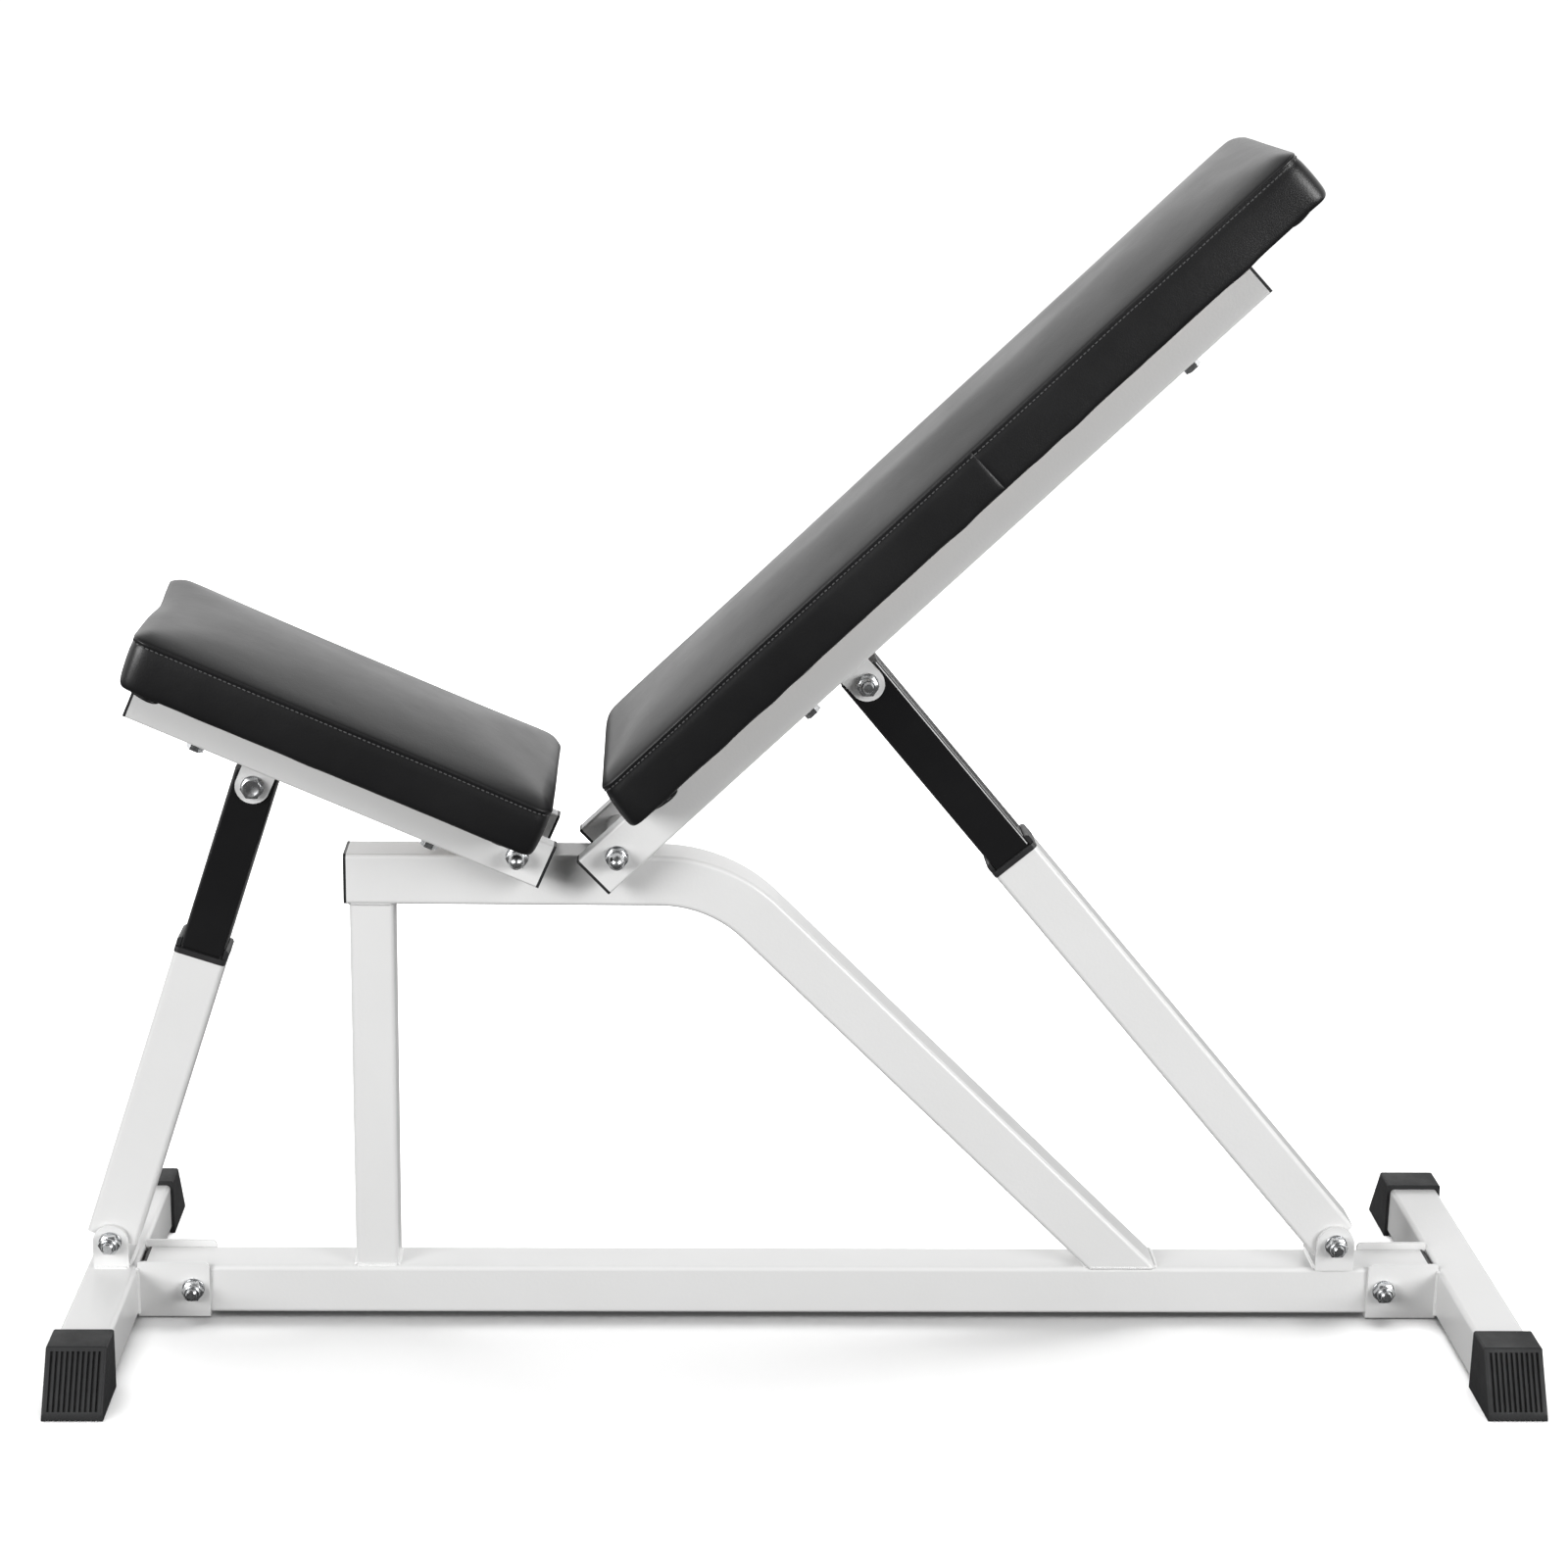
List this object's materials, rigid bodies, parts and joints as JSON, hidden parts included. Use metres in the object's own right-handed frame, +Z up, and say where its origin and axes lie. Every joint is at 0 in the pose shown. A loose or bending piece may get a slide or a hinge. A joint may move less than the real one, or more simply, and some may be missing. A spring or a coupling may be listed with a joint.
{
  "type": "adjustable weight bench",
  "caption": "Steel weight bench with a tilting seat and a tilting back, each held by a telescopic strut with a spring pull pin, on a floor frame with rubber foot caps.",
  "frame": {"origin": "on the floor, midway between the two cross tubes, under the middle of the bench", "axes": "+X along the bench from the seat end to the back end, +Y across the bench to its right-hand side as a person sits on it facing the seat end, +Z up"},
  "size_m": [1.2652, 0.448, 1.0439],
  "materials": {
    "white_paint": "gloss white powder coat on steel tube",
    "black_paint": "gloss black powder coat",
    "black_rubber": "matt dark grey moulded rubber",
    "black_plastic": "fine-grained black moulded plastic",
    "zinc_plate": "bright zinc plate",
    "spring_steel": "plain spring wire",
    "plywood": "bare birch plywood",
    "black_vinyl": "semi-gloss black vinyl upholstery cloth over foam"
  },
  "bodies": {
    "base": {"base_lock_nuts": "zinc_plate", "base_washers": "zinc_plate", "beam_end_cap": "black_plastic", "bracket_bolts": "zinc_plate", "foot_cap_front_left": "black_rubber", "foot_cap_front_right": "black_rubber", "foot_cap_rear_left": "black_rubber", "foot_cap_rear_right": "black_rubber", "front_base_clevis": "white_paint", "front_bracket": "white_paint", "front_cross_tube": "white_paint", "front_post": "white_paint", "main_rail": "white_paint", "pivot_bolts": "zinc_plate", "pivot_bushes": "white_paint", "pivot_cap_nuts": "zinc_plate", "rail_end_plugs": "black_plastic", "rear_base_clevis": "white_paint", "rear_bracket": "white_paint", "rear_cross_tube": "white_paint", "strut_foot_bolts": "zinc_plate", "upper_beam": "white_paint"},
    "seat": {"seat_board": "plywood", "seat_clevis": "white_paint", "seat_clevis_bar": "white_paint", "seat_front_bar": "white_paint", "seat_pad": "black_vinyl", "seat_pad_screws": "zinc_plate", "seat_rail_caps": "black_plastic", "seat_rail_left": "white_paint", "seat_rail_right": "white_paint", "seat_strut_bolt": "zinc_plate"},
    "back": {"back_board": "plywood", "back_clevis": "white_paint", "back_clevis_bar": "white_paint", "back_pad": "black_vinyl", "back_pad_screws": "zinc_plate", "back_rail_caps": "black_plastic", "back_rail_left": "white_paint", "back_rail_right": "white_paint", "back_strut_bolt": "zinc_plate", "back_top_bar": "white_paint"},
    "front_strut_outer": {"front_outer_tube": "white_paint", "front_strut_bush": "zinc_plate", "front_collar": "black_plastic", "front_pin_housing": "zinc_plate", "front_pin_spring": "spring_steel"},
    "front_strut_inner": {"front_inner_tube": "black_paint", "front_inner_plug": "black_plastic"},
    "front_pull_pin": {"front_pin_plunger": "zinc_plate", "front_pin_knob": "black_plastic"},
    "rear_strut_outer": {"rear_outer_tube": "white_paint", "rear_strut_bush": "zinc_plate", "rear_collar": "black_plastic", "rear_pin_housing": "zinc_plate", "rear_pin_spring": "spring_steel"},
    "rear_strut_inner": {"rear_inner_tube": "black_paint", "rear_inner_plug": "black_plastic"},
    "rear_pull_pin": {"rear_pin_plunger": "zinc_plate", "rear_pin_knob": "black_plastic"}
  },
  "joints": [
    {"name": "seat_tilt", "type": "hinge", "parent": "base", "child": "seat", "pos_m": [-0.2445, 0, 0.443], "axis": [0, 1, 0], "range_deg": [-23.15, 0]},
    {"name": "back_tilt", "type": "hinge", "parent": "base", "child": "back", "pos_m": [-0.16, 0, 0.443], "axis": [0, 1, 0], "range_deg": [0, 44]},
    {"name": "front_strut_tilt", "type": "hinge", "parent": "base", "child": "front_strut_outer", "pos_m": [-0.607, 0, 0.0735], "axis": [0, 1, 0], "range_deg": [0, 4.52]},
    {"name": "front_strut_slide", "type": "slide", "parent": "front_strut_outer", "child": "front_strut_inner", "axis": [0.3081, 0, 0.9513], "range_m": [-0.0881, 0]},
    {"name": "rear_strut_tilt", "type": "hinge", "parent": "base", "child": "rear_strut_outer", "pos_m": [0.489, 0, 0.0735], "axis": [0, 1, 0], "range_deg": [-10.23, 0]},
    {"name": "rear_strut_slide", "type": "slide", "parent": "rear_strut_outer", "child": "rear_strut_inner", "axis": [-0.6476, 0, 0.762], "range_m": [-0.16207, 0]},
    {"name": "front_pin_pull", "type": "slide", "parent": "front_strut_outer", "child": "front_pull_pin", "axis": [0, 1, 0], "range_m": [0, 0.009], "stiffness_N_per_m": 900, "springref_m": -0.006, "deforming": ["front_pin_spring"]},
    {"name": "rear_pin_pull", "type": "slide", "parent": "rear_strut_outer", "child": "rear_pull_pin", "axis": [0, 1, 0], "range_m": [0, 0.009], "stiffness_N_per_m": 900, "springref_m": -0.006, "deforming": ["rear_pin_spring"]}
  ],
  "couplings": [
    {"joint": "front_strut_tilt", "follows": "seat_tilt", "ratio": -0.19322},
    {"joint": "front_strut_slide", "follows": "seat_tilt", "m_per_rad": 0.2176},
    {"joint": "rear_strut_tilt", "follows": "back_tilt", "ratio": -0.23028},
    {"joint": "rear_strut_slide", "follows": "back_tilt", "m_per_rad": -0.21062}
  ]
}
